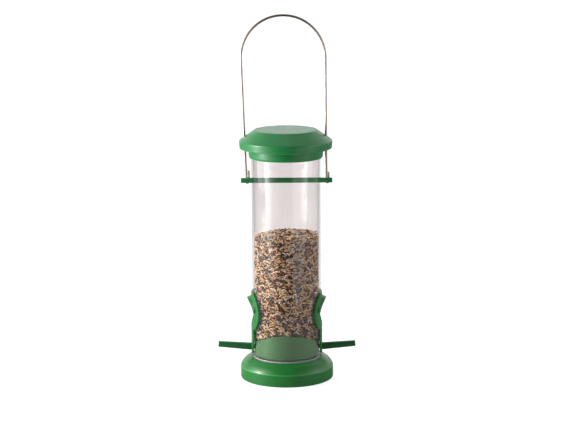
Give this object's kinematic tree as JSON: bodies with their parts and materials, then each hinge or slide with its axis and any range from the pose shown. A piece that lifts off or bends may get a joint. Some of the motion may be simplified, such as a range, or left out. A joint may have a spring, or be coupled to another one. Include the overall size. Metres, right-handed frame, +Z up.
{
  "type": "tube bird feeder",
  "caption": "Hanging clear-tube seed feeder with a sliding lid on a wire bail, side feeding ports with hoods and perches, and a round base it can stand on.",
  "frame": {"origin": "centre of the base's underside", "axes": "+Z up the tube's axis to the hanging loop; the two feeding ports face -X and +X; front and back are -Y and +Y"},
  "size_m": [0.1296, 0.087, 0.3415],
  "materials": {
    "clear_tube": "clear polished extruded plastic",
    "green_plastic": "semi-gloss moulded plastic",
    "perch_plastic": "semi-gloss moulded plastic, slightly darker green",
    "black_plastic": "satin moulded plastic",
    "wire": "bright drawn wire",
    "screw_steel": "zinc plated",
    "seed": "loose mixed seed"
  },
  "bodies": {
    "feeder": {"tube": "clear_tube", "base_ring": "green_plastic", "seed_deflector": "green_plastic", "base_screws": "screw_steel", "cross_rod": "green_plastic", "bail": "wire", "port_left": "green_plastic", "port_right": "green_plastic", "port_backplate_left": "black_plastic", "port_backplate_right": "black_plastic", "perch_left": "perch_plastic", "perch_right": "perch_plastic", "seed_fill": "seed"},
    "lid": {"lid_cap": "green_plastic", "lid_collar": "green_plastic"}
  },
  "joints": [
    {"name": "lid_slide", "type": "slide", "parent": "feeder", "child": "lid", "axis": [0, 0, 1], "range_m": [0, 0.048]}
  ]
}
